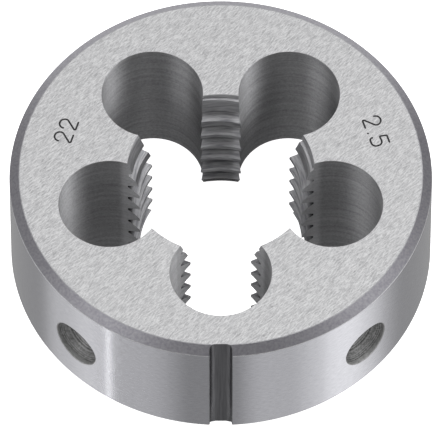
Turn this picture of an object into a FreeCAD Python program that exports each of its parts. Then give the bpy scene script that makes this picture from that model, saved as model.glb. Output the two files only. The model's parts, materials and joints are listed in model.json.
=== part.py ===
import FreeCAD, Part
import math
import os
from FreeCAD import Vector

# Solid round threading die, lying on its back face at Z = 0, with the thread axis on Z.
# The face at the top is the starting face. The key groove in the rim faces -Y.

# Disc
outside_diameter = 50.0
thickness = 19.0
rim_chamfer_width = 1.15
rim_chamfer_height = 0.85
back_chamfer_width = 3.4
back_chamfer_height = 2.85

# Right-hand metric thread, M22 x 2.5. The start angle is where the groove's middle crosses Z = 0
thread_diameter = 22.0
pitch = 2.5
flank_angle = 60.0
root_clearance = 0.1
thread_start_angle = 312.0

# Tapered leads into the thread, the long one on the starting face and the short one on the back face
lead_length = 4.6
back_lead_length = 3.0
lead_edge_clearance = 0.05

# Clearance holes that break into the bore and leave the threaded lands between them
clearance_hole_count = 5
clearance_hole_diameter = 12.0
land_width = 4.8

# Countersunk dimples in the rim, either side of the key groove, for the points of the stock's screws
dimple_diameter = 6.2
dimple_wall_depth = 0.6
dimple_point_angle = 90.0
dimple_height = 9.9
dimple_spread_angle = 43.5

# Key groove down the rim
groove_width = 2.6
groove_depth = 1.25
groove_corner_radius = 0.7

# How far each cutter runs past the surface that it cuts, so that no two faces coincide
cutter_overrun = 1.0

# Thread form of the ISO metric profile, worked out from the pitch
half_flank = math.radians(flank_angle / 2)
sharp_height = pitch / (2 * math.tan(half_flank))
crest_radius = thread_diameter / 2 - sharp_height * 5 / 8
root_radius = thread_diameter / 2 + root_clearance
crest_flat = pitch / 5

outside_radius = outside_diameter / 2
hole_radius = clearance_hole_diameter / 2
hole_spacing_angle = 360 / clearance_hole_count

# Angle of groove cut across each land, so that it ends over the clearance hole at either side
groove_span_angle = hole_spacing_angle * 5 / 6


def hole_circle_radius():
    """Distance of the hole centres from the axis that leaves lands of the given width at the crests."""
    land_half_angle = math.asin(land_width / 2 / crest_radius)
    hole_edge_angle = math.radians(hole_spacing_angle / 2) - land_half_angle
    along = crest_radius * math.cos(hole_edge_angle)
    across = crest_radius * math.sin(hole_edge_angle)
    return along + math.sqrt(hole_radius ** 2 - across ** 2)


def revolved(profile):
    """Solid of revolution about Z from (radius, height) points in order, with its seam on the -Y side."""
    points = [Vector(0, -radius, height) for radius, height in profile]
    outline = Part.makePolygon(points + points[:1])
    return Part.Face(outline).revolve(Vector(0, 0, 0), Vector(0, 0, 1), 360)


def turned_blank():
    """Disc with both rim chamfers, the bore at crest size and both tapered leads."""
    lead_edge_radius = root_radius + lead_edge_clearance
    return revolved([
        (lead_edge_radius, 0),
        (outside_radius - back_chamfer_width, 0),
        (outside_radius, back_chamfer_height),
        (outside_radius, thickness - rim_chamfer_height),
        (outside_radius - rim_chamfer_width, thickness),
        (lead_edge_radius, thickness),
        (crest_radius, thickness - lead_length),
        (crest_radius, back_lead_length),
    ])


def groove_over_one_land():
    """Short length of the right-hand helical groove, starting at angle 0, wider than one land."""
    inner_radius = crest_radius - crest_flat / 2
    flank_slope = math.tan(half_flank)
    crest_half_gap = (pitch - crest_flat) / 2
    inner_half_gap = crest_half_gap + (crest_radius - inner_radius) * flank_slope
    root_half_gap = crest_half_gap - (root_radius - crest_radius) * flank_slope
    corners = [
        Vector(inner_radius, 0, -inner_half_gap),
        Vector(root_radius, 0, -root_half_gap),
        Vector(root_radius, 0, root_half_gap),
        Vector(inner_radius, 0, inner_half_gap),
    ]
    section = Part.makePolygon(corners + corners[:1])
    path = Part.makeHelix(pitch, pitch * groove_span_angle / 360, root_radius)
    return Part.Wire(path.Edges).makePipeShell([section], True, True)


def thread_grooves():
    """Every turn of the one helical groove where it crosses a land, from below the disc to above it."""
    one_groove = groove_over_one_land()
    grooves = []
    for land in range(clearance_hole_count):
        land_angle = (land + 0.5) * hole_spacing_angle - 90
        start_angle = land_angle - groove_span_angle / 2
        height = pitch * (start_angle - thread_start_angle) / 360 % pitch - pitch
        while height < thickness + pitch:
            groove = one_groove.copy()
            groove.rotate(Vector(0, 0, 0), Vector(0, 0, 1), start_angle)
            groove.translate(Vector(0, 0, height))
            grooves.append(groove)
            height += pitch
    return grooves


def clearance_holes():
    """Straight drills right through, the first one in line with the key groove."""
    length = thickness + 2 * cutter_overrun
    drills = []
    for index in range(clearance_hole_count):
        angle = math.radians(index * hole_spacing_angle - 90)
        centre = Vector(math.cos(angle), math.sin(angle), 0) * hole_circle_radius()
        centre.z = -cutter_overrun
        drills.append(Part.makeCylinder(hole_radius, length, centre))
    return drills


def screw_dimples():
    """Two countersinks from the rim towards the axis, each with a short straight wall above its cone."""
    radius = dimple_diameter / 2
    point_depth = radius / math.tan(math.radians(dimple_point_angle / 2))
    drills = []
    for side in (-1, 1):
        angle = math.radians(-90 + side * dimple_spread_angle)
        inward = Vector(-math.cos(angle), -math.sin(angle), 0)
        start = inward * -(outside_radius + cutter_overrun) + Vector(0, 0, dimple_height)
        shank_length = cutter_overrun + dimple_wall_depth
        shank = Part.makeCylinder(radius, shank_length, start, inward)
        point = Part.makeCone(radius, 0, point_depth, start + inward * shank_length, inward)
        drills.append(shank.fuse(point))
    return drills


def key_groove():
    """Straight cutter with rounded lower corners, standing in the rim on the -Y side."""
    floor = -(outside_radius - groove_depth)
    mouth = -(outside_radius + cutter_overrun)
    half = groove_width / 2
    block = Part.makeBox(groove_width, floor - mouth, thickness + 2 * cutter_overrun,
                         Vector(-half, mouth, -cutter_overrun))
    corners = [edge for edge in block.Edges
               if edge.BoundBox.ZLength > thickness and abs(edge.BoundBox.YMin - floor) < 1e-6]
    return block.makeFillet(groove_corner_radius, corners)


def die_body():
    """The finished die as one solid."""
    body = turned_blank()
    body = body.cut(clearance_holes())
    body = body.cut(thread_grooves())
    return body.cut(screw_dimples() + [key_groove()])


os.makedirs("parts", exist_ok=True)
die_body().exportStep("parts/die_body.step")
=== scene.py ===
import json
import math

import bmesh
import bpy
import numpy as np
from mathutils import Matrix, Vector


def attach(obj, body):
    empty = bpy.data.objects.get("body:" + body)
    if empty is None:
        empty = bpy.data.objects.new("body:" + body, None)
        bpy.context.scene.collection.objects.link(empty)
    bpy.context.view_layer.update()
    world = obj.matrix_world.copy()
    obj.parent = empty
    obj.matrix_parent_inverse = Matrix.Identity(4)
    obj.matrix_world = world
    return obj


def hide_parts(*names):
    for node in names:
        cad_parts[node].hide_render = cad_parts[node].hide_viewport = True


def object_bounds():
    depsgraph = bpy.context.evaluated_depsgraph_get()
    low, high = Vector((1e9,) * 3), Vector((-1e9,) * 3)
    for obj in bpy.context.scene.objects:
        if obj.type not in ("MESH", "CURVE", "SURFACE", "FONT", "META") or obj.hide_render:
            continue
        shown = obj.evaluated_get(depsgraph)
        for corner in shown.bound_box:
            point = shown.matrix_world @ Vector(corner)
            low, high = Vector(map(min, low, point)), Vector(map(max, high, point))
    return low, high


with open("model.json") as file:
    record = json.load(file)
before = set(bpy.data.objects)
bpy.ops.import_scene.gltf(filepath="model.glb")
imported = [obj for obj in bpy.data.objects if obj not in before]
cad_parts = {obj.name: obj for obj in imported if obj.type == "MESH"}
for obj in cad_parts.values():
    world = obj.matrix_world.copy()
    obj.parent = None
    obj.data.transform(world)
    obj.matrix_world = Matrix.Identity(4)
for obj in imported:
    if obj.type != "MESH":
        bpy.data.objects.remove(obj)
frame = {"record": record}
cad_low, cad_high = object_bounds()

# Camera: a long lens 57.5 degrees above the bench, on the key groove's side, so that the disc is drawn
# almost without perspective. The middle of the starting face is a little above the picture's middle.
picture_width, picture_height = 440, 426
pixels_per_mm = 8.482
face_middle_pixel = (220.8, 173.3)
camera_elevation = math.radians(57.5)
lens_mm, sensor_mm = 1000.0, 36.0

aim = Vector((
    (picture_width / 2 - face_middle_pixel[0]) / pixels_per_mm / 1000,
    (face_middle_pixel[1] - picture_height / 2) / pixels_per_mm / math.sin(camera_elevation) / 1000,
    cad_high.z,
))
towards_camera = Vector((0, -math.cos(camera_elevation), math.sin(camera_elevation)))
camera_distance = picture_width / pixels_per_mm / 1000 * lens_mm / sensor_mm

camera_data = bpy.data.cameras.new("camera")
camera_data.lens = lens_mm
camera_data.sensor_width = sensor_mm
camera_data.clip_start = 0.1
camera_data.clip_end = 10
camera = bpy.data.objects.new("camera", camera_data)
camera.location = aim + towards_camera * camera_distance
camera.rotation_euler = (math.pi / 2 - camera_elevation, 0, 0)
bpy.context.collection.objects.link(camera)
bpy.context.scene.camera = camera


# Bench: a plain white light table under the die, wide enough to fill every view. Its glare is kept out of
# the steel, as a photographer does with a black card, so that the steel shows only the room's lights.
def linear(hex_colour):
    """Linear RGBA of an sRGB hex colour."""
    srgb = np.array([int(hex_colour[i:i + 2], 16) for i in (1, 3, 5)]) / 255
    values = np.where(srgb <= 0.04045, srgb / 12.92, ((srgb + 0.055) / 1.055) ** 2.4)
    return (*values.tolist(), 1.0)


def node(tree, kind, inputs=(), **settings):
    """Adds one node with its settings. An input is a value, or the socket that it is linked from."""
    made = tree.nodes.new(kind)
    for name, value in settings.items():
        setattr(made, name, value)
    for name, value in dict(inputs).items():
        if isinstance(value, bpy.types.NodeSocket):
            tree.links.new(value, made.inputs[name])
        else:
            made.inputs[name].default_value = value
    return made


def new_material(name):
    """A material with only its output node. Returns it with its tree and the output."""
    material = bpy.data.materials.new(name)
    material.use_nodes = True
    material.node_tree.nodes.clear()
    return material, material.node_tree, node(material.node_tree, "ShaderNodeOutputMaterial")


def light_table():
    """Opal white sheet lit from below: no gloss, and white wherever it shows, also through the bore."""
    material, tree, output = new_material("opal_white_sheet")
    shader = node(tree, "ShaderNodeBsdfPrincipled", {
        "Base Color": linear("#F4F4F4"), "Roughness": 0.9, "Specular IOR Level": 0.1,
        "Emission Color": linear("#FFFFFF"), "Emission Strength": 1.05})
    tree.links.new(shader.outputs[0], output.inputs["Surface"])
    return material


floor_half = 3.0
floor_mesh = bpy.data.meshes.new("floor")
floor_mesh.from_pydata(
    [(-floor_half, -floor_half, 0), (floor_half, -floor_half, 0),
     (floor_half, floor_half, 0), (-floor_half, floor_half, 0)], [], [(0, 1, 2, 3)])
floor_mesh.materials.append(light_table())
floor = bpy.data.objects.new("floor", floor_mesh)
floor.visible_glossy = False
bpy.context.collection.objects.link(floor)


def painted_shadow_card():
    """Painted shadow: a dimly glowing grey card that only the steel sees, for the part of the table that lies
    in the die's own shadow.
    """
    material, tree, output = new_material("shaded_card")
    grey = node(tree, "ShaderNodeEmission", {"Color": linear("#FFFFFF"), "Strength": 0.3})
    tree.links.new(grey.outputs[0], output.inputs["Surface"])
    return material


# The card is a disc of the die's radius, and lies this share of that radius under the table's top
card_drop = 0.02
card_corners = 48
card_turn = np.linspace(0, 2 * np.pi, card_corners + 1)[:-1]
card_edge = np.stack([np.cos(card_turn), np.sin(card_turn), np.full(card_corners, -card_drop)], axis=-1)
# Painted shadow under the die, seen only in the steel's reflections
card_mesh = bpy.data.meshes.new("shaded_card")
card_mesh.from_pydata(card_edge * cad_high.x, [], [list(range(card_corners))])
card_mesh.materials.append(painted_shadow_card())
card = bpy.data.objects.new("shaded_card", card_mesh)
for seen_by in ("visible_camera", "visible_diffuse", "visible_transmission", "visible_shadow"):
    setattr(card, seen_by, False)
bpy.context.collection.objects.link(card)


# Studio light: a broad soft box overhead and to the back, which the ground face mirrors, and four smaller
# ones, two of them to the right, that reach down into the clearance holes. White panels do the rest.
def soft_box(name, azimuth, elevation, distance, width, height, power):
    """Area light that faces the die. Azimuth 0 is the camera's side, and 90 is to the right."""
    data = bpy.data.lights.new(name, "AREA")
    data.shape = "RECTANGLE"
    data.size, data.size_y = width, height
    data.energy = power
    lamp = bpy.data.objects.new(name, data)
    around, up = math.radians(azimuth), math.radians(elevation)
    direction = Vector((math.sin(around) * math.cos(up), -math.cos(around) * math.cos(up), math.sin(up)))
    lamp.location = direction * distance
    lamp.rotation_euler = direction.to_track_quat("Z", "Y").to_euler()
    bpy.context.collection.objects.link(lamp)


soft_box("overhead_soft_box", 180, 60, 1.0, 1.1, 0.9, 1.72)
soft_box("right_back_box", 116, 56, 0.8, 0.35, 0.25, 1.5)
soft_box("right_front_box", 92, 54, 0.8, 0.12, 0.3, 0.4)
soft_box("left_top_box", -95, 68, 0.8, 0.25, 0.3, 0.5)
soft_box("front_top_box", 0, 88, 0.8, 0.25, 0.2, 0.65)

# The room: grey all round, with panels that stand on the floor and others that hang above the table's top
world = bpy.data.worlds.new("studio")
world.use_nodes = True
room = world.node_tree
seen = node(room, "ShaderNodeTexCoord").outputs["Generated"]
seen_height = node(room, "ShaderNodeSeparateXYZ", {0: seen}).outputs["Z"]
seen_flat = node(room, "ShaderNodeVectorMath", {0: seen, 1: (1, 1, 0)}, operation="MULTIPLY").outputs[0]
seen_level = node(room, "ShaderNodeVectorMath", {0: seen_flat}, operation="NORMALIZE").outputs[0]
room_light = node(room, "ShaderNodeMapRange", {
    "Value": seen_height, "From Min": -0.3, "From Max": 0.6, "To Min": 0.38, "To Max": 0.33}).outputs[0]
panel_blur = 5


def with_panel(light_before, azimuth, half_width, soft_edge, low, high, strength):
    """The room's light with one more panel: a smooth step of azimuth times smooth steps of elevation."""
    around = math.radians(azimuth)
    middle = (math.sin(around), -math.cos(around), 0)
    nearness = node(room, "ShaderNodeVectorMath", {0: seen_level, 1: middle}, operation="DOT_PRODUCT")
    light = node(room, "ShaderNodeMapRange", {
        "Value": nearness.outputs["Value"], "From Min": math.cos(math.radians(half_width + soft_edge)),
        "From Max": math.cos(math.radians(half_width)), "To Max": strength}, interpolation_type="SMOOTHSTEP")
    for outside, inside in ((low - panel_blur, low + panel_blur), (high + panel_blur, high - panel_blur)):
        within = node(room, "ShaderNodeMapRange", {
            "Value": seen_height, "From Min": math.sin(math.radians(outside)),
            "From Max": math.sin(math.radians(inside))}, interpolation_type="SMOOTHSTEP")
        light = node(room, "ShaderNodeMath", {
            0: light.outputs[0], 1: within.outputs[0]}, operation="MULTIPLY")
    return node(room, "ShaderNodeMath", {0: light_before, 1: light.outputs[0]}).outputs[0]


# Each panel's azimuth, half width, soft edge, lowest and highest elevation in degrees, and its strength.
# The ground rim mirrors those that end at 0.
for place in (
        (-56, 0, 40, -84, 0, 0.33),
        (-90, 4, 24, -84, 0, 0.42),
        (-64.6, 0.4, 0.4, -84, 0, 3.2),
        (55, 30, 20, -84, 0, 0.35),
        (78, 5, 35, -84, 0, 0.35),
        (72, 0, 16, -84, 0, 0.28),
        (-58, 8, 20, 28, 56, 1.3),
        (74, 6, 20, 28, 56, 1.0),
        (-115, 30, 20, 5, 30, 0.15),
        (180, 20, 25, -22, 8, 0.9)):
    room_light = with_panel(room_light, *place)
room.links.new(room_light, room.nodes["Background"].inputs["Strength"])
room.nodes["Background"].inputs["Color"].default_value = linear("#FFFFFF")
bpy.context.scene.world = world
bpy.context.scene.view_settings.view_transform = "Standard"


# The die's surfaces are worked out in millimetres, one patch for each machined surface, and are joined
# into one closed mesh at the end, because the real die is one piece of hardened tool steel.
outside_radius = (cad_high.x - cad_low.x) / 2 * 1000
thickness = (cad_high.z - cad_low.z) * 1000
finishes = {}
patches = []


def round_points(radius, angle, height):
    """Points on circles about Z: radius and angle give X and Y, and all three are broadcast together."""
    radius, angle, height = np.broadcast_arrays(radius, angle, height)
    return np.stack([radius * np.cos(angle), radius * np.sin(angle), height], axis=-1)


def add_patch(points, finish, keep=None):
    """Keeps a grid of points, rows by columns, as quads of one finish, all of them or those kept."""
    rows, columns = points.shape[:2]
    corner = np.arange(rows * columns).reshape(rows, columns)
    quads = np.stack([corner[:-1, :-1], corner[:-1, 1:], corner[1:, 1:], corner[1:, :-1]], axis=-1)
    quads = quads[keep] if keep is not None else quads.reshape(-1, 4)
    patches.append((points.reshape(-1, 3), quads, finish))


def steel(name, colour, darker, roughness):
    """Bare hardened steel with no pattern yet. Returns it with its tree, its shader and its two colours."""
    material, tree, output = new_material(name)
    shader = node(tree, "ShaderNodeBsdfPrincipled", {
        "Base Color": linear(colour), "Metallic": 1.0, "Roughness": roughness})
    tree.links.new(shader.outputs[0], output.inputs["Surface"])
    return material, tree, shader, (linear(colour), linear(darker))


def lines_round(tree, shader, amount):
    """Fine tool lines that run level round an upright wall, so that each light is smeared upright on it."""
    shader.inputs["Anisotropic"].default_value = amount
    shader.inputs["Anisotropic Rotation"].default_value = 0.25
    facing = node(tree, "ShaderNodeNewGeometry").outputs["Normal"]
    level = node(tree, "ShaderNodeVectorMath", {0: facing, 1: (0, 0, 1)}, operation="CROSS_PRODUCT")
    tree.links.new(level.outputs["Vector"], shader.inputs["Tangent"])


def grain(tree, size_mm, turn=0.0, detail=2.0):
    """Noise in grains of the given length, width and depth, with their length turned about Z from X."""
    place = node(tree, "ShaderNodeTexCoord")
    stretched = node(tree, "ShaderNodeMapping", {
        "Vector": place.outputs["Object"], "Rotation": (0, 0, turn),
        "Scale": tuple(size / 1000 for size in size_mm)}, vector_type="TEXTURE")
    return node(tree, "ShaderNodeTexNoise", {
        "Vector": stretched.outputs[0], "Scale": 1.0, "Detail": detail, "Roughness": 0.55}).outputs["Fac"]


def distance_from_axis(tree):
    """How far the shaded point lies from Z, in metres."""
    place = node(tree, "ShaderNodeTexCoord").outputs["Object"]
    flat = node(tree, "ShaderNodeVectorMath", {0: place, 1: (1, 1, 0)}, operation="MULTIPLY")
    return node(tree, "ShaderNodeVectorMath", {0: flat.outputs[0]}, operation="LENGTH").outputs["Value"]


def round_grain(tree, spacing_mm, along_mm):
    """Noise in rings about Z, spaced by radius and height alike, that changes slowly along each ring."""
    radius = distance_from_axis(tree)
    parts = node(tree, "ShaderNodeSeparateXYZ", {0: node(tree, "ShaderNodeTexCoord").outputs["Object"]})
    around = node(tree, "ShaderNodeMath", {0: parts.outputs["Y"], 1: parts.outputs["X"]}, operation="ARCTAN2")
    ring = node(tree, "ShaderNodeCombineXYZ", {
        "X": node(tree, "ShaderNodeMath", {
            0: radius, 1: 1000 / spacing_mm}, operation="MULTIPLY").outputs[0],
        "Y": node(tree, "ShaderNodeMath", {
            0: around.outputs[0], 1: outside_radius / along_mm}, operation="MULTIPLY").outputs[0],
        "Z": node(tree, "ShaderNodeMath", {
            0: parts.outputs["Z"], 1: 1000 / spacing_mm}, operation="MULTIPLY").outputs[0]})
    return node(tree, "ShaderNodeTexNoise", {
        "Vector": ring.outputs[0], "Scale": 1.0, "Detail": 2.0, "Roughness": 0.6}).outputs["Fac"]


def show_grain(tree, shader, pattern, colours, spread, depth_mm):
    """Lets a pattern mix the two colours over the given spread of its values, and press it in as bump."""
    share = node(tree, "ShaderNodeMapRange", {
        "Value": pattern, "From Min": 0.5 - spread, "From Max": 0.5 + spread})
    mixed = node(tree, "ShaderNodeMix", {0: share.outputs[0], 6: colours[1], 7: colours[0]}, data_type="RGBA")
    tree.links.new(mixed.outputs[2], shader.inputs["Base Color"])
    bump = node(tree, "ShaderNodeBump", {"Height": pattern, "Strength": 1.0, "Distance": depth_mm / 1000})
    tree.links.new(bump.outputs[0], shader.inputs["Normal"])


# Bore and clearance holes: five 12 mm drills break into the bore and leave five threaded lands. Both ends
# of the lands are cut back by a tapered lead, the longer one at the top, where the bar enters.
thread_radius = 11.0
pitch = 2.5
thread_start = math.radians(312)
flank_slope = math.tan(math.radians(30))
crest_flat = pitch / 5
crest_radius = thread_radius - pitch / (2 * flank_slope) * 5 / 8
root_clearance = 0.1
root_radius = thread_radius + root_clearance
root_flat = pitch - crest_flat - 2 * (root_radius - crest_radius) * flank_slope
lead_edge_clearance = 0.05
lead_rise = root_radius + lead_edge_clearance - crest_radius
lead_length = 4.6
lead_start = thickness - lead_length
lead_slope = lead_rise / (thickness - lead_start)
back_lead_end = 3.0
back_lead_slope = lead_rise / back_lead_end

hole_count = 5
hole_radius = 6.0
land_width = 4.8
spacing = 2 * math.pi / hole_count
edge_angle = spacing / 2 - math.asin(land_width / 2 / crest_radius)
hole_circle = crest_radius * math.cos(edge_angle) + math.sqrt(
    hole_radius ** 2 - (crest_radius * math.sin(edge_angle)) ** 2)

# Every edge of the flat faces is broken by this much, as the grinder's last stroke and a stone leave it
edge_break = 0.04

# Rows of the mesh over the root, the flank below the crest, the crest and the flank above it, and columns
# across a land and round a hole
rows_over = (2, 6, 2, 6)
land_columns = 25
hole_columns = 61

# Beside each land, this many columns of the hole's wall follow the land's edge. They end this far round the
# hole from the line to the bore's axis
cutting_edge = math.radians(58.5)
cutting_columns = 6

# The ground strip on the cutting faces, lighter as painted reflection of the light through the bore, reaches
# this far from the bore's axis, and then fades into the hole
ground_and_painted_reflection_radius = 11.4
ground_and_painted_reflection_fade = 0.9

# The ends of the lands and the mouth of the key groove are found step by step, in this many steps
search_steps = 8


def wall_radius(angle, height):
    """Radius of the bore: the largest of the thread's wave and the cones of the two leads."""
    groove = pitch * (angle - thread_start) / (2 * np.pi)
    from_groove = np.abs((height - groove + pitch / 2) % pitch - pitch / 2)
    thread = crest_radius + ((pitch - crest_flat) / 2 - from_groove) / flank_slope
    lead = crest_radius + lead_slope * (height - lead_start)
    back_lead = crest_radius + back_lead_slope * (back_lead_end - height)
    return np.maximum(np.clip(thread, crest_radius, root_radius), np.maximum(lead, back_lead))


# Each row of the wall keeps to one line of the thread: its turn, the surface that it is on and the share
# of that surface below it. One more row at each end carries the broken edge.
thread_rows = np.array([
    (turn, surface, row / count)
    for turn in range(math.ceil(thickness / pitch) + 3)
    for surface, count in enumerate(rows_over)
    for row in range(count)])
thread_rows = np.concatenate([thread_rows[:1], thread_rows, thread_rows[-1:]])
row_turn, row_surface, row_share = (thread_rows[:, i:i + 1] for i in range(3))
end_of_row = np.zeros_like(row_turn)
end_of_row[0], end_of_row[-1] = -1, 1


def row_heights(angle, land_angle):
    """Height of each row at each angle: corners of root, flank and crest that climb with the thread."""
    first = pitch * (land_angle - thread_start) / (2 * math.pi) % pitch - 2 * pitch
    groove = first + pitch * (angle - land_angle) / (2 * np.pi) + pitch * row_turn
    low = groove + (pitch - crest_flat) / 2
    high = groove + (pitch + crest_flat) / 2
    steep = 1 / flank_slope
    leads = ((lead_start, lead_slope, 1), (back_lead_end, -back_lead_slope, -1))
    for cone_start, cone_slope, inside in leads:
        cut_low = (low * steep + cone_slope * cone_start) / (steep + cone_slope)
        cut_high = (high * steep - cone_slope * cone_start) / (steep - cone_slope)
        low = np.where(inside * (low - cone_start) > 0, cut_low, low)
        high = np.where(inside * (high - cone_start) > 0, cut_high, high)
    bottom, top = groove + root_flat / 2, groove + pitch - root_flat / 2
    corners = np.stack([groove - root_flat / 2, bottom, np.clip(low, bottom, top),
                        np.clip(high, bottom, top), top])
    below = np.broadcast_to(row_surface.astype(int), groove.shape)[None]
    start = np.take_along_axis(corners, below, axis=0)[0]
    end = np.take_along_axis(corners, below + 1, axis=0)[0]
    return np.clip(start + row_share * (end - start), edge_break, thickness - edge_break)


def land_end(hole_angle, side, land_angle):
    """Angle of each row's end, where the wall's radius meets the hole's circle, by the rule of cosines."""
    widening = edge_break * np.abs(end_of_row)
    first_guess = 0.4
    angle = hole_angle + side * np.full_like(row_turn, first_guess)
    for _ in range(search_steps):
        radius = wall_radius(angle, row_heights(angle, land_angle)) + widening
        cosine = (hole_circle ** 2 + radius ** 2 - (hole_radius + widening) ** 2) / (2 * hole_circle * radius)
        angle = hole_angle + side * np.arccos(cosine)
    return angle


def land_wall(land_angle):
    """Threaded wall of one land, from one clearance hole to the next."""
    start = land_end(land_angle - spacing / 2, 1, land_angle)
    end = land_end(land_angle + spacing / 2, -1, land_angle)
    angle = start + (end - start) * np.linspace(0, 1, land_columns)
    height = row_heights(angle, land_angle)
    radius = wall_radius(angle, height) + edge_break * np.abs(end_of_row)
    return round_points(radius, angle, height + edge_break * end_of_row)


def hole_wall(before, after, hole_angle):
    """Wall of one clearance hole: the drill's circle from one land's end to the start of the next."""
    centre = hole_circle * np.array([math.cos(hole_angle), math.sin(hole_angle)])

    def turn_to(point):
        """Angle round the hole from the line that runs outwards through its centre."""
        across = (point[:, :2] - centre) @ np.array([
            [math.cos(hole_angle), -math.sin(hole_angle)], [math.sin(hole_angle), math.cos(hole_angle)]])
        return np.arctan2(across[:, 1:], across[:, :1])

    share = np.linspace(0, 1, hole_columns)
    column = np.arange(hole_columns)
    near_start = np.clip(1 - column / cutting_columns, 0, 1)
    near_end = near_start[::-1]
    drilled_columns = hole_columns - 1 - 2 * cutting_columns
    across_drilled = 2 * (column - cutting_columns) / drilled_columns - 1
    turn = np.clip(across_drilled, -1, 1) * (np.pi - cutting_edge)
    turn = turn + near_start * (turn_to(before) - turn[0]) + near_end * (turn_to(after) - turn[-1])
    turn = hole_angle + turn
    height = before[:, 2:] + (after[:, 2:] - before[:, 2:]) * share
    points = round_points(hole_radius + edge_break * np.abs(end_of_row), turn, height)
    points[..., :2] += centre
    return points


land_angles = [spacing * (land + 0.5) - math.pi / 2 for land in range(hole_count)]
lands = [land_wall(angle) for angle in land_angles]
for land in range(hole_count):
    add_patch(lands[land], "cut_and_lapped_thread")
    following = lands[(land + 1) % hole_count]
    wall = hole_wall(lands[land][:, -1], following[:, 0], land_angles[land] + spacing / 2)
    add_patch(wall, "drilled_steel")


def lapped_thread():
    """Thread cut and lapped: mid grey, with marks along the helix, and darker in the roots and on the
    undersides: painted shade, and in the roots also furnace scale. The lead is ground once more after
    hardening, so it is lighter towards the face."""
    material, tree, shader, colours = steel("cut_and_lapped_thread", "#C2C2C4", "#8C8C90", 0.6)
    depth = node(tree, "ShaderNodeAttribute", attribute_name="thread_depth").outputs["Fac"]
    # Painted shade: surfaces that face downwards are darkened
    facing = node(tree, "ShaderNodeNewGeometry").outputs["True Normal"]
    upwards = node(tree, "ShaderNodeSeparateXYZ", {0: facing}).outputs["Z"]
    painted_underside_shade = node(tree, "ShaderNodeMapRange", {
        "Value": upwards, "From Min": -0.1, "From Max": -0.4}).outputs[0]
    # Painted shade in the roots, which also stands for furnace scale there
    root = node(tree, "ShaderNodeMapRange", {"Value": depth, "From Min": 0.5, "From Max": 1.0}).outputs[0]
    scale_and_painted_shade = node(tree, "ShaderNodeMath", {0: painted_underside_shade, 1: root}, operation="MAXIMUM").outputs[0]
    place = node(tree, "ShaderNodeTexCoord").outputs["Object"]
    height = node(tree, "ShaderNodeSeparateXYZ", {0: place}).outputs["Z"]
    lead = node(tree, "ShaderNodeMapRange", {
        "Value": height, "From Min": (lead_start + pitch / 2) / 1000,
        "From Max": thickness / 1000}).outputs[0]
    # Both colours are darkened towards near black by the painted shade and the scale
    colours_with_scale_and_shade = []
    for colour, ground in zip(colours, (linear("#E4E4E6"), linear("#BCBCBF"))):
        bare = node(tree, "ShaderNodeMix", {0: lead, 6: colour, 7: ground}, data_type="RGBA").outputs[2]
        colours_with_scale_and_shade.append(node(tree, "ShaderNodeMix", {
            0: scale_and_painted_shade, 6: bare, 7: linear("#2C2C2E")}, data_type="RGBA").outputs[2])
    show_grain(tree, shader, round_grain(tree, 0.25, 6.0), colours_with_scale_and_shade, 0.18, 0.012)
    return material


def drilled():
    """Drilled and reamed holes: dark from the furnace, with the faint level rings that the lips leave. The
    cutting faces beside the lands are ground once more, so they are rougher, and lighter in colour as painted
    reflection of the light through the bore; both fade into the hole."""
    material, tree, shader, colours = steel("drilled_steel", "#BABABC", "#969698", 0.52)
    lines_round(tree, shader, 1.0)
    ground = node(tree, "ShaderNodeMapRange", {
        "Value": distance_from_axis(tree), "From Min": (ground_and_painted_reflection_radius + ground_and_painted_reflection_fade) / 1000,
        "From Max": ground_and_painted_reflection_radius / 1000}, interpolation_type="SMOOTHSTEP").outputs[0]
    roughness = node(tree, "ShaderNodeMapRange", {"Value": ground, "To Min": 0.52, "To Max": 0.6}).outputs[0]
    tree.links.new(roughness, shader.inputs["Roughness"])
    smear = node(tree, "ShaderNodeMapRange", {"Value": ground, "To Min": 1.0, "To Max": 0.8}).outputs[0]
    tree.links.new(smear, shader.inputs["Anisotropic"])
    colours_with_painted_reflection = []
    # Painted reflection: the colours turn lighter near the lands, for the light that comes through the bore
    for colour, lighter in zip(colours, ("#D4D4D6", "#BCBCBE")):
        colours_with_painted_reflection.append(node(tree, "ShaderNodeMix", {
            0: ground, 6: colour, 7: linear(lighter)}, data_type="RGBA").outputs[2])
    rings, specks = grain(tree, (9.0, 9.0, 0.5)), grain(tree, (0.25, 0.25, 0.25))
    both = node(tree, "ShaderNodeMix", {0: 0.5, 2: rings, 3: specks}, data_type="FLOAT")
    show_grain(tree, shader, both.outputs[0], colours_with_painted_reflection, 0.15, 0.002)
    return material


finishes["cut_and_lapped_thread"] = lapped_thread()
finishes["drilled_steel"] = drilled()


# Rim: the outside is turned with a chamfer at both faces, then the cylinder between them is ground. The
# chamfer at the back is the larger one, and the key groove runs out on it.
chamfer_width, chamfer_height = 1.15, 0.85
back_chamfer_width, back_chamfer_height = 3.4, 2.85
rim_break = 0.06
mouth_round = 0.1

# Key groove down the rim: milled with a rounded cutter, for the key of the stock
groove_width, groove_depth, groove_corner = 2.6, 1.25, 0.7
groove_floor = outside_radius - groove_depth
groove_rows = 12

# Screw dimples: countersunk into the rim, either side of the key groove, for the stock's screw points
dimple_mounts = [mount for mount in frame["record"]["mounts"] if mount["name"].startswith("dimple")]
dimple_radius = dimple_mounts[0]["dims"]["r_mm"]
dimple_wall = dimple_mounts[0]["dims"]["length_mm"]
dimple_height = dimple_mounts[0]["pos_m"][2] * 1000
dimple_point = math.radians(90)
dimple_offset = math.radians(43.5)

# The rim is a grid of upright columns, with a window around each dimple that the dimple's own rings fill
column_step = math.radians(1)
first_column = math.radians(4.5)
window_half_columns = 9
window_half_angle = window_half_columns * column_step
window_half_height = 3.9
window_rows = 17
rows_to_stop = 4
column_angles = np.arange(first_column, 2 * math.pi - first_column + column_step / 2, column_step)


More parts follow.
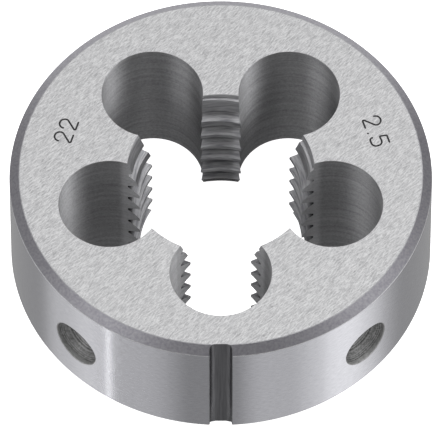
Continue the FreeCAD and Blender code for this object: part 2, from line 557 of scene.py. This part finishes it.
def chamfer_rows(width, height, stop):
    """Radius and height of rows from a face's edge out to the rim, one of them at the radius of the stop."""
    slope = np.array([width, height]) / math.hypot(width, height)
    face_radius = outside_radius - width
    start, end = face_radius + rim_break * slope[0], outside_radius - rim_break * slope[0]
    radii = np.concatenate([np.linspace(start, stop, rows_to_stop), np.linspace(stop, end, rows_to_stop)[1:]])
    rows = np.stack([radii, (radii - face_radius) * height / width], axis=-1)
    return np.concatenate([[[face_radius - rim_break, 0]], rows])


def groove_half_width(above_floor):
    """Half the groove's width at a height above its floor: a quarter circle in the corner, then upright."""
    into_corner = np.clip(above_floor, 0, groove_corner)
    rise = np.sqrt(groove_corner ** 2 - (groove_corner - into_corner) ** 2)
    return groove_width / 2 - groove_corner + rise


rim_heights = np.concatenate([
    np.linspace(back_chamfer_height + rim_break, dimple_height - window_half_height, 5)[:-1],
    np.linspace(dimple_height - window_half_height, dimple_height + window_half_height, window_rows),
    np.linspace(dimple_height + window_half_height, thickness - chamfer_height - rim_break, 5)[1:]])
ground_rim = np.stack([np.full_like(rim_heights, outside_radius), rim_heights], axis=-1)
groove_end = math.hypot(groove_floor, groove_width / 2 - groove_corner)
bottom_chamfer = chamfer_rows(back_chamfer_width, back_chamfer_height, groove_end)
top_chamfer = chamfer_rows(chamfer_width, chamfer_height, outside_radius - chamfer_width / 2)
top_chamfer = top_chamfer[::-1] * [1, -1] + [0, thickness]
rim_rows = np.concatenate([bottom_chamfer, ground_rim, top_chamfer])
rim_radius, rim_height = rim_rows[:, :1], rim_rows[:, 1:]
mouth_half = np.full_like(rim_radius, groove_width / 2)
for _ in range(search_steps):
    mouth_height = np.maximum(np.sqrt(rim_radius ** 2 - mouth_half ** 2) - groove_floor, 0)
    mouth_half = groove_half_width(mouth_height)
mouth_break = np.minimum(mouth_round, mouth_height / 2)
mouth_angle = np.arcsin((mouth_half + mouth_break) / rim_radius)

from_groove = np.concatenate([
    mouth_angle, np.broadcast_to(column_angles, (len(rim_rows), len(column_angles))),
    2 * np.pi - mouth_angle], axis=1)
rim_points = round_points(rim_radius, from_groove - np.pi / 2, rim_height)

# Half of the groove's section, from the mouth to the middle of its floor, closer together in the corner
down = (1 - np.linspace(0, 1, groove_rows + 1)) ** 2
wall_above = (mouth_height - mouth_break) * down
wall_x = groove_half_width(wall_above)
half_x = np.concatenate([mouth_half + mouth_break, wall_x, wall_x[:, -1:] / 2, 0 * wall_x[:, -1:]], axis=1)
half_y = np.concatenate([np.sqrt(rim_radius ** 2 - (mouth_half + mouth_break) ** 2),
                         groove_floor + wall_above, np.full((len(rim_rows), 2), groove_floor)], axis=1)
section_x = np.concatenate([-half_x, half_x[:, -2::-1]], axis=1)
section_y = np.minimum(np.concatenate([half_y, half_y[:, -2::-1]], axis=1),
                       np.sqrt(rim_radius ** 2 - section_x ** 2))
section = np.stack([section_x, -section_y, np.broadcast_to(rim_height, section_x.shape)], axis=-1)
add_patch(section[:rows_to_stop + 1], "turned_chamfer")
add_patch(section[rows_to_stop:], "milled_groove")

bottom_rows = len(bottom_chamfer)
top_row = bottom_rows + len(ground_rim)
cell_height = (ground_rim[1:, 1] + ground_rim[:-1, 1])[:, None] / 2
cell_angle = (from_groove[:1, 1:] + from_groove[:1, :-1]) / 2
near_dimple = np.minimum(np.abs(cell_angle - dimple_offset),
                         np.abs(cell_angle - 2 * np.pi + dimple_offset)) < window_half_angle
in_window = near_dimple & (np.abs(cell_height - dimple_height) < window_half_height)
add_patch(rim_points[:bottom_rows], "turned_chamfer")
add_patch(rim_points[top_row:-1], "turned_chamfer")
for edge_row, finish in ((bottom_rows - 1, "stoned_edge"), (top_row - 1, "honed_edge"),
                         (len(rim_points) - 2, "stoned_edge")):
    add_patch(rim_points[[edge_row, edge_row + 1]], finish)
add_patch(rim_points[bottom_rows:top_row], "ground_rim", ~in_window)


def dimple(side):
    """One dimple: the rim's window around it, its broken mouth, its straight wall and its cone."""
    axis_angle = side * dimple_offset - math.pi / 2
    axis = np.array([math.cos(axis_angle), math.sin(axis_angle), 0])
    across = np.array([-math.sin(axis_angle), math.cos(axis_angle), 0])
    steps = np.arange(-window_half_columns, window_half_columns + 1) * column_step * outside_radius
    rises = np.linspace(-window_half_height, window_half_height, window_rows)
    outline = np.concatenate([
        np.stack([steps, np.full_like(steps, -window_half_height)], axis=-1)[:-1],
        np.stack([np.full_like(rises, steps[-1]), rises], axis=-1)[:-1],
        np.stack([steps[::-1], np.full_like(steps, window_half_height)], axis=-1)[:-1],
        np.stack([np.full_like(rises, steps[0]), rises[::-1]], axis=-1)])
    turn = np.arctan2(outline[:, 1], outline[:, 0])
    mouth_radius = dimple_radius + mouth_round
    mouth = np.stack([outside_radius * np.arcsin(mouth_radius * np.cos(turn) / outside_radius),
                      mouth_radius * np.sin(turn)], axis=-1)
    share = np.linspace(0, 1, 6)[:, None, None]
    window = outline + (mouth - outline) * share
    add_patch(round_points(outside_radius, axis_angle + window[..., 0] / outside_radius,
                           dimple_height + window[..., 1]), "ground_rim")

    def ring(radius, depth):
        """Points round the dimple's axis at a radius, at a depth measured from the die's axis."""
        sideways, up = radius * np.cos(turn), radius * np.sin(turn)
        return axis * depth + across * sideways[:, None] + [0, 0, 1] * (dimple_height + up)[:, None]

    def on_rim(radius):
        """Distance of the rim's surface from the die's axis, at each point of a ring."""
        return np.sqrt(outside_radius ** 2 - (radius * np.cos(turn)) ** 2)[:, None]

    floor_depth = outside_radius - dimple_wall
    rings = [ring(mouth_radius, on_rim(mouth_radius)),
             ring(dimple_radius, on_rim(dimple_radius) - mouth_round)]
    for radius in np.linspace(dimple_radius, 0, 8):
        rings.append(ring(radius, floor_depth - (dimple_radius - radius) / math.tan(dimple_point / 2)))
    # The straight wall gets the lighter finish, painted light against the dimple's shade
    add_patch(np.stack(rings[:3]), "dimple_wall")
    add_patch(np.stack(rings[2:]), "countersunk_dimple")


for side in (-1, 1):
    dimple(side)


def chamfer_steel():
    """Chamfer turned before hardening and never ground: darker, mottled, with a faint violet tint."""
    material, tree, shader, colours = steel("turned_chamfer", "#A4A3A8", "#8E8C93", 0.4)
    show_grain(tree, shader, grain(tree, (0.3, 0.3, 0.3)), colours, 0.2, 0.003)
    return material


def stoned_edge():
    """Edges of the rim, broken by hand with an oilstone: a thin lighter line without gloss."""
    material, tree, shader, colours = steel("stoned_edge", "#C8C8CA", "#ACACAF", 0.75)
    show_grain(tree, shader, grain(tree, (0.4, 0.4, 0.4)), colours, 0.2, 0.002)
    return material


def honed_edge():
    """Edge between the top chamfer and the rim: honed after grinding, so it shows as a thin bright line."""
    material, tree, shader, colours = steel("honed_edge", "#DCDCDE", "#C2C2C5", 0.5)
    show_grain(tree, shader, grain(tree, (0.4, 0.4, 0.4)), colours, 0.2, 0.002)
    return material


def rim_steel():
    """Cylindrically ground rim: the wheel's fine lines run round it and smear each light into a tall band."""
    material, tree, shader, colours = steel("ground_rim", "#C2C2C7", "#B7B7BC", 0.1)
    lines_round(tree, shader, 1.0)
    show_grain(tree, shader, round_grain(tree, 0.2, 0.8), colours, 0.17, 0.0002)
    return material


def groove_steel():
    """Key groove as the cutter left it: dark, with marks along its length."""
    material, tree, shader, colours = steel("milled_groove", "#757578", "#5F5F62", 0.4)
    show_grain(tree, shader, grain(tree, (0.2, 0.2, 5.0)), colours, 0.2, 0.01)
    return material


def dimple_steel():
    """Dimple as the countersink left it: dark grey, with rings square to its axis, 0.16 mm apart."""
    material, tree, shader, colours = steel("countersunk_dimple", "#B4B4B4", "#646464", 0.55)
    folded = node(tree, "ShaderNodeVectorMath", {
        0: node(tree, "ShaderNodeTexCoord").outputs["Object"]}, operation="ABSOLUTE")
    ring_spacing = 0.16
    axis = (math.sin(dimple_offset) * 1000 / ring_spacing, math.cos(dimple_offset) * 1000 / ring_spacing, 0)
    depth = node(tree, "ShaderNodeVectorMath", {0: folded.outputs[0], 1: axis}, operation="DOT_PRODUCT")
    rings = node(tree, "ShaderNodeTexNoise", {
        "W": depth.outputs["Value"], "Scale": 1.0, "Detail": 1.0}, noise_dimensions="1D")
    both = node(tree, "ShaderNodeMix", {
        0: 0.5, 2: rings.outputs["Fac"], 3: grain(tree, (0.25, 0.25, 0.25))}, data_type="FLOAT")
    show_grain(tree, shader, both.outputs[0], colours, 0.13, 0.02)
    return material


def dimple_wall_with_painted_light():
    """Straight wall round a dimple: an even light grey, lighter than the cone as painted light that lifts the
    shade inside the dimple.
    """
    # Painted light: a colour lighter than the cone's, against the shade inside the dimple
    material, tree, shader, colours = steel("dimple_wall", "#D0D0D0", "#B4B4B4", 0.7)
    show_grain(tree, shader, grain(tree, (0.3, 0.3, 0.3)), colours, 0.2, 0.004)
    return material


finishes["turned_chamfer"] = chamfer_steel()
finishes["stoned_edge"] = stoned_edge()
finishes["honed_edge"] = honed_edge()
finishes["ground_rim"] = rim_steel()
finishes["milled_groove"] = groove_steel()
finishes["countersunk_dimple"] = dimple_steel()
finishes["dimple_wall"] = dimple_wall_with_painted_light()


# Numbers: the thread's size, engraved in plain strokes by a round-nosed cutter and filled with black.
number_height = 2.1
stroke_half_width = 0.11
stroke_depth = 0.07
number_circle = 19.3

# Each figure is a line through corners in units of its height, and each corner has a radius of its own
figures = {
    "2": ([(0.0, 0.7), (0.0, 1.0), (0.6, 1.0), (0.6, 0.62), (0.0, 0.0), (0.6, 0.0)], (0.29, 0.29, 0.2, 0.06)),
    "5": ([(0.56, 1.0), (0.08, 1.0), (0.02, 0.58), (0.6, 0.64), (0.6, 0.0), (0.0, 0.0), (0.0, 0.17)],
          (0.06, 0.06, 0.28, 0.28, 0.15)),
    ".": ([(0.1, 0.02), (0.1, 0.03)], ()),
}
figure_gap = 0.3
figure_advance = {"2": 0.9, "5": 0.9, ".": 0.45}


def rounded_line(corners, radii):
    """Straight runs joined by arcs: each arc touches both runs at radius / tan(half the turn)."""
    corners = np.array(corners)
    points = [corners[:1]]
    for before, corner, after, radius in zip(corners, corners[1:], corners[2:], radii):
        back = (before - corner) / np.linalg.norm(before - corner)
        forth = (after - corner) / np.linalg.norm(after - corner)
        half = math.acos(np.clip(back @ forth, -1, 1)) / 2
        middle = (back + forth) / np.linalg.norm(back + forth)
        centre = corner + middle * radius / math.sin(half)
        share = np.linspace(-1, 1, 9)[:, None] * (math.pi / 2 - half)
        sideways = (forth - back) / np.linalg.norm(forth - back)
        points.append(centre - radius * (middle * np.cos(share) - sideways * np.sin(share)))
    return np.concatenate([*points, corners[-1:]])


def engrave(line, place):
    """Round-bottomed stroke along a flat line: depth times (1 - share across squared), with round ends."""
    line = line * number_height
    along = np.gradient(line, axis=0)
    along /= np.linalg.norm(along, axis=1, keepdims=True)
    beside = np.stack([-along[:, 1], along[:, 0]], axis=-1)

    def put(flat, across):
        """Places a patch of the stroke on the face, sunk by its depth."""
        depth = stroke_depth * (1 - across ** 2)
        flat = flat @ place[:2] + place[2]
        add_patch(np.concatenate([flat, (thickness - depth)[..., None]], axis=-1), "black_fill")

    across = np.broadcast_to(np.linspace(-1, 1, 7), (len(line), 7))
    put(line[:, None] + beside[:, None] * across[..., None] * stroke_half_width, across)
    turn = np.linspace(0, np.pi, 9)[:, None]
    for end, sign in ((0, -1), (-1, 1)):
        around = beside[end] * np.cos(turn) + sign * along[end] * np.sin(turn)
        across = np.broadcast_to(np.linspace(0, 1, 4), (9, 4))
        put(line[end] + around[:, None] * across[..., None] * stroke_half_width, across)


def number(text, angle):
    """Engraves a number whose middle is at an angle on the number circle, with its top outwards."""
    outward = np.array([math.cos(angle), math.sin(angle)])
    reading = np.array([outward[1], -outward[0]])
    width = sum(figure_advance[figure] for figure in text) - figure_gap
    start = -width / 2
    for figure in text:
        shift = (reading * start - outward * 0.5) * number_height + outward * number_circle
        engrave(rounded_line(*figures[figure]), np.stack([reading, outward, shift]))
        start += figure_advance[figure]


number("22", math.radians(162))
number("2.5", math.radians(18))


def black_fill():
    """Black engraver's paint in the strokes: matt, with worn greyer spots."""
    material, tree, output = new_material("black_fill")
    shader = node(tree, "ShaderNodeBsdfPrincipled", {"Roughness": 0.55})
    tree.links.new(shader.outputs[0], output.inputs["Surface"])
    worn = (linear("#0E0E10"), linear("#262629"))
    show_grain(tree, shader, grain(tree, (0.35, 0.35, 0.35)), worn, 0.2, 0.004)
    return material


finishes["black_fill"] = black_fill()


# Faces: both are surface-ground flat after hardening, so they are the lightest surfaces of the die. They
# close the mesh between the walls, and the wheel's short marks run across them in one direction.
def ground_face():
    """Surface-ground face: light grey and silky, with short slanting marks, a speckle and faint clouds."""
    material, tree, shader, colours = steel("ground_face", "#DDDDDE", "#A0A0A2", 0.32)
    marks = node(tree, "ShaderNodeMath", {
        0: grain(tree, (1.1, 0.17, 1.0), math.radians(36), 3.0),
        1: grain(tree, (0.9, 0.16, 1.0), math.radians(56), 3.0)}, operation="MAXIMUM").outputs[0]
    specks = grain(tree, (0.22, 0.18, 0.2), math.radians(40), 1.0)
    clouds = grain(tree, (1.8, 1.1, 1.0), math.radians(40), 2.0)
    both = node(tree, "ShaderNodeMix", {0: 0.22, 2: marks, 3: specks}, data_type="FLOAT")
    all_three = node(tree, "ShaderNodeMix", {0: 0.12, 2: both.outputs[0], 3: clouds}, data_type="FLOAT")
    show_grain(tree, shader, all_three.outputs[0], colours, 0.12, 0.01)
    return material


finishes["ground_face"] = ground_face()


# Lengths in metres: points this close are merged, and edges this short are dissolved
merge_distance = 1e-6
sliver_length = 1e-7


def joined_mesh():
    """One closed mesh of all patches in metres: doubles merged, faces filled, normals turned outwards."""
    names = list(finishes)
    mesh = bpy.data.meshes.new("threading_die")
    first = np.cumsum([0] + [len(points) for points, _, _ in patches])
    points = np.concatenate([points for points, _, _ in patches]) / 1000
    quads = np.concatenate([quads + start for start, (_, quads, _) in zip(first, patches)])
    mesh.from_pydata(points, [], quads)
    for name in names:
        mesh.materials.append(finishes[name])
    slots = np.concatenate([np.full(len(quads), names.index(finish)) for _, quads, finish in patches])
    mesh.polygons.foreach_set("material_index", slots)
    shape = bmesh.new()
    shape.from_mesh(mesh)
    bmesh.ops.remove_doubles(shape, verts=shape.verts, dist=merge_distance)
    bmesh.ops.dissolve_degenerate(shape, edges=shape.edges, dist=sliver_length)
    for level in (0, thickness / 1000):
        rims = [edge for edge in shape.edges if edge.is_boundary
                and all(abs(vertex.co.z - level) < merge_distance for vertex in edge.verts)]
        filled = bmesh.ops.triangle_fill(shape, edges=rims, use_beauty=True)
        for face in filled["geom"]:
            if isinstance(face, bmesh.types.BMFace):
                face.material_index = names.index("ground_face")
    bmesh.ops.recalc_face_normals(shape, faces=shape.faces)
    shape.to_mesh(mesh)
    shape.free()
    # Depth of each point below the thread's crest, read by the thread's painted shade and scale in the roots
    corners = np.empty(len(mesh.vertices) * 3, dtype=np.float32)
    mesh.vertices.foreach_get("co", corners)
    across, upright = corners.reshape(-1, 3)[:, :2] * 1000, corners[2::3] * 1000
    cone = np.maximum(lead_slope * (upright - lead_start), back_lead_slope * (back_lead_end - upright))
    below_crest = np.linalg.norm(across, axis=1) - crest_radius - np.maximum(cone, 0)
    depth = mesh.attributes.new("thread_depth", "FLOAT", "POINT")
    below_lead = np.clip(lead_start + pitch - upright, 0, 1)
    depth.data.foreach_set("value", np.clip(below_crest / (root_radius - crest_radius), 0, 1) * below_lead)
    return mesh


die_mesh = joined_mesh()
die_mesh.shade_smooth()
die_mesh.set_sharp_from_angle(angle=math.radians(12))
die = bpy.data.objects.new("threading_die", die_mesh)
bpy.context.collection.objects.link(die)
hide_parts("die_body")
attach(die, "root")
